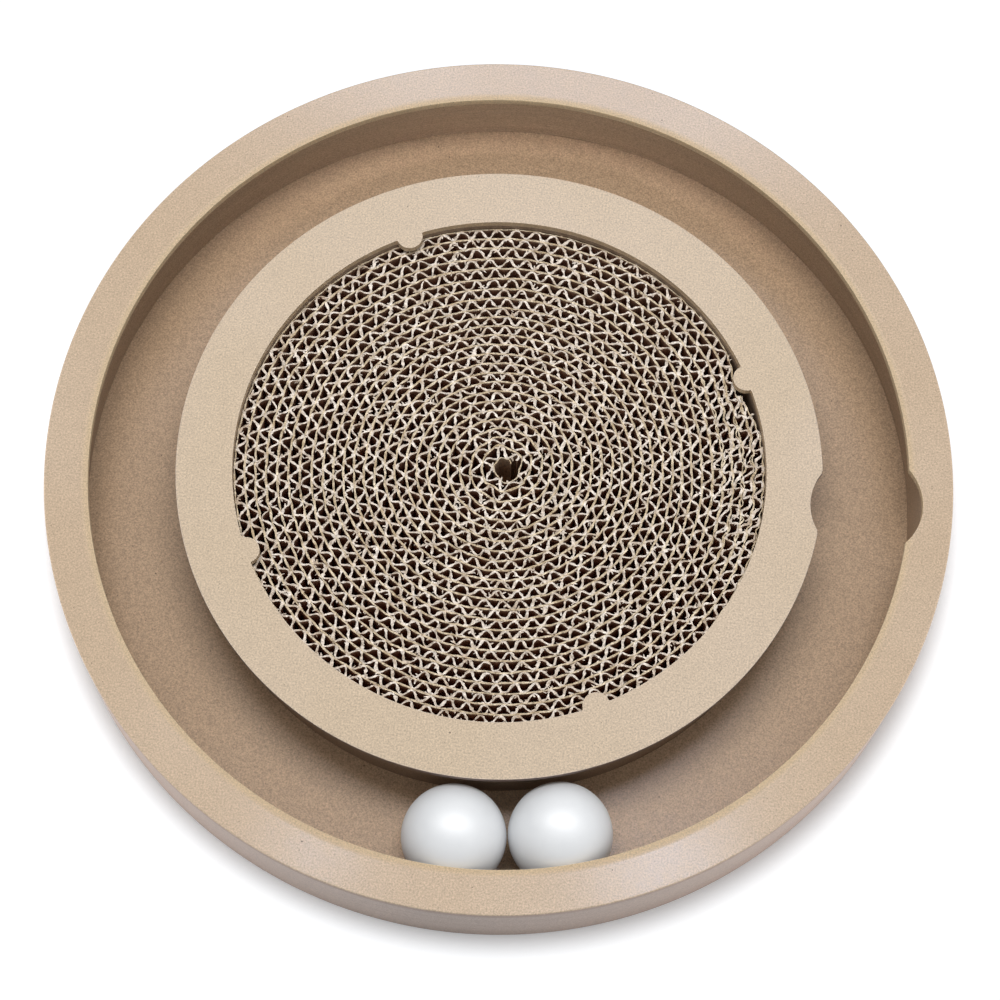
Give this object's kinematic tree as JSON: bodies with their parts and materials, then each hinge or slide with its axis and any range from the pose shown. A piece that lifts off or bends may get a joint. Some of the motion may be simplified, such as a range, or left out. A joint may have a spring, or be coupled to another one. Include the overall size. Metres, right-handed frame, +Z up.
{
  "type": "round cat scratcher with ball track",
  "caption": "Low round fibreboard disc with a wound corrugated-board scratching pad in its centre and captive balls that roll in a lipped ring track around the pad.",
  "frame": {"origin": "centre of the underside of the base board, on the surface that the disc lies on", "axes": "+Z up through the middle of the disc, +X from the middle through the ball entry, -Y towards the balls' rest place"},
  "size_m": [0.3558, 0.3558, 0.0433],
  "materials": {
    "base_fibreboard": "bare fibreboard, mid brown",
    "wall_fibreboard": "bare cut fibreboard edge",
    "top_fibreboard": "sanded fibreboard, light beige",
    "corrugated_board": "cut edge of single-wall board",
    "white_plastic": "smooth white, soft gloss"
  },
  "bodies": {
    "base": {"base_board": "base_fibreboard", "outer_wall_lower": "wall_fibreboard", "outer_wall_upper": "wall_fibreboard", "inner_wall_lower": "wall_fibreboard", "inner_wall_upper": "wall_fibreboard", "rim_sheet": "top_fibreboard", "collar_sheet": "top_fibreboard", "scratch_pad": "corrugated_board"},
    "left_ball": {"left_ball_top_half": "white_plastic", "left_ball_bottom_half": "white_plastic"},
    "right_ball": {"right_ball_top_half": "white_plastic", "right_ball_bottom_half": "white_plastic"}
  },
  "joints": [
    {"name": "left_ball_track", "type": "hinge", "parent": "base", "child": "left_ball", "pos_m": [0, 0, 0.0243], "axis": [0, 0, 1], "continuous": true},
    {"name": "right_ball_track", "type": "hinge", "parent": "left_ball", "child": "right_ball", "pos_m": [0, 0, 0.0243], "axis": [0, 0, 1], "range_deg": [0, 328]}
  ]
}
